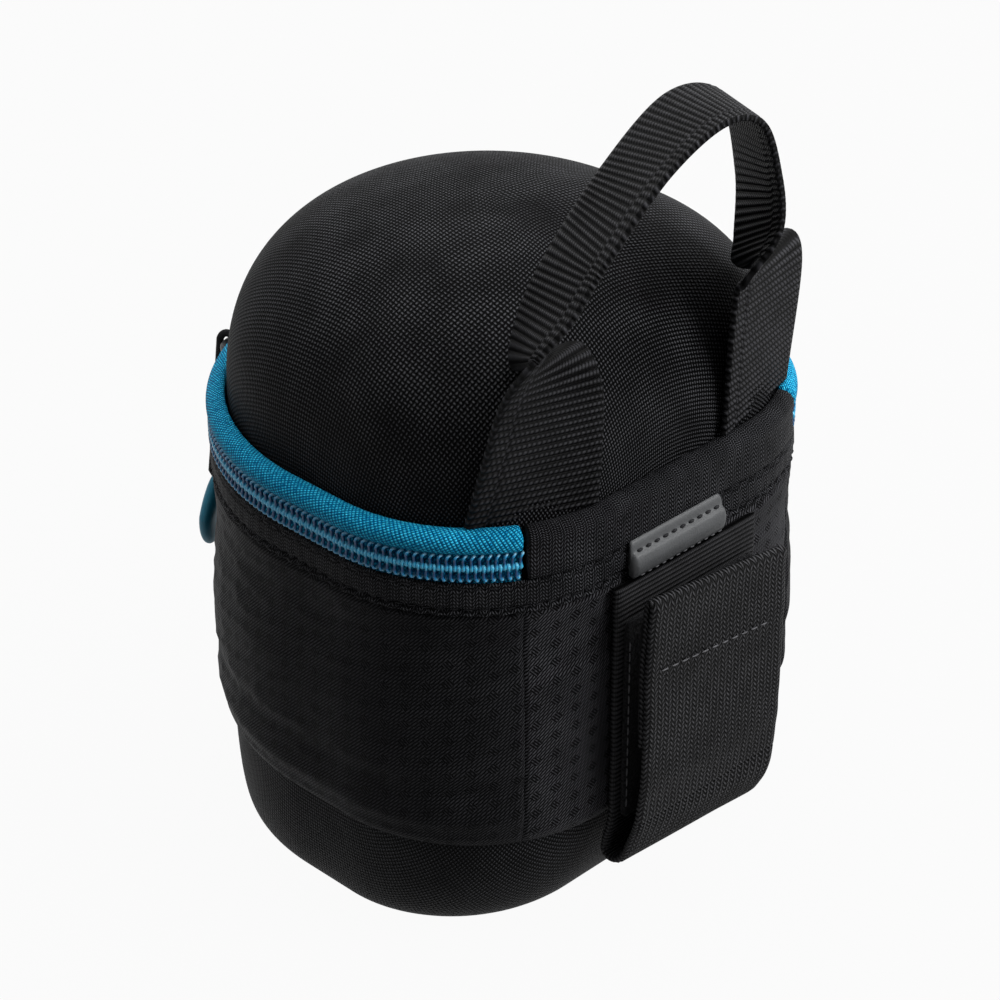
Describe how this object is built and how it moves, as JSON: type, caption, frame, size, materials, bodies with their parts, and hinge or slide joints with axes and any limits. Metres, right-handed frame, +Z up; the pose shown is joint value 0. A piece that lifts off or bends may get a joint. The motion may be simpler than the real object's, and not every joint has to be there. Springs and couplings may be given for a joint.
{
  "type": "lens pouch",
  "caption": "Moulded lens pouch with a hinged dome lid closed by a coil zip with sliding pulls, a twisted webbing carry handle, a padded sleeve and a fold-over belt strap.",
  "frame": {"origin": "on the surface the pouch stands on, at the centre of the round front of the rim", "axes": "+Z up, -Y towards the zip's round front, +Y towards the hinge band and the belt strap, +X to the right seen from the front"},
  "size_m": [0.1092, 0.1242, 0.162],
  "materials": {
    "nylon": "black plain-weave nylon bonded on moulded foam",
    "twill": "black twill",
    "sleeve_fabric": "black dobby twill, lightly padded",
    "lining": "grey brushed tricot",
    "foam": "soft foam",
    "blue_tape": "blue knitted zip tape",
    "blue_coil": "blue nylon coil",
    "webbing": "black ribbed webbing",
    "leatherette": "grey embossed leatherette",
    "gunmetal": "dark enamelled zinc",
    "rubber": "moulded teal rubber"
  },
  "bodies": {
    "base": {"body_shell": "nylon", "body_lining": "lining", "bottom_pad": "foam", "sleeve_foam": "foam", "sleeve_front": "sleeve_fabric", "sleeve_back": "sleeve_fabric", "rim_band": "twill", "base_binding": "twill", "zip_tape_lower": "blue_tape", "zip_coil_lower": "blue_coil", "hinge_band_lower": "twill", "leather_tab": "leatherette", "belt_strap": "webbing", "loop_patch": "webbing"},
    "belt_flap": {"belt_flap": "webbing", "hook_patch": "webbing"},
    "lid": {"lid_shell": "nylon", "lid_lining": "lining", "lid_binding": "twill", "zip_tape_upper": "blue_tape", "zip_coil_upper": "blue_coil", "hinge_band_upper": "twill"},
    "handle": {"handle_webbing": "webbing"},
    "slider_right": {"slider_right": "gunmetal"},
    "pull_right": {"pull_cord_right": "webbing", "pull_grip_right": "rubber"},
    "slider_left": {"slider_left": "gunmetal"},
    "pull_left": {"pull_cord_left": "webbing", "pull_grip_left": "rubber"}
  },
  "joints": [
    {"name": "lid_hinge", "type": "hinge", "parent": "base", "child": "lid", "pos_m": [0, 0.0484, 0.0876], "axis": [-1, 0, 0], "range_deg": [0, 100]},
    {"name": "handle_fold", "type": "hinge", "parent": "lid", "child": "handle", "pos_m": [0, 0.0469, 0.09475], "axis": [-1, 0, 0], "range_deg": [0, 45]},
    {"name": "flap_open", "type": "hinge", "parent": "base", "child": "belt_flap", "pos_m": [0, 0.0582, 0.02885], "axis": [-1, 0, 0], "range_deg": [0, 100]},
    {"name": "slider_right_travel", "type": "hinge", "parent": "base", "child": "slider_right", "pos_m": [0, 0, 0.0876], "axis": [0, 0, 1], "range_deg": [0, 66]},
    {"name": "pull_right_swing", "type": "hinge", "parent": "slider_right", "child": "pull_right", "pos_m": [0.01713, -0.05604, 0.0876], "axis": [-0.9563, -0.2924, 0], "range_deg": [-8, 90]},
    {"name": "slider_left_travel", "type": "hinge", "parent": "base", "child": "slider_left", "pos_m": [0, 0, 0.0876], "axis": [0, 0, 1], "range_deg": [-88, 0]},
    {"name": "pull_left_swing", "type": "hinge", "parent": "slider_left", "child": "pull_left", "pos_m": [0.00512, -0.05838, 0.0876], "axis": [-0.9962, -0.0873, 0], "range_deg": [-8, 90]}
  ]
}
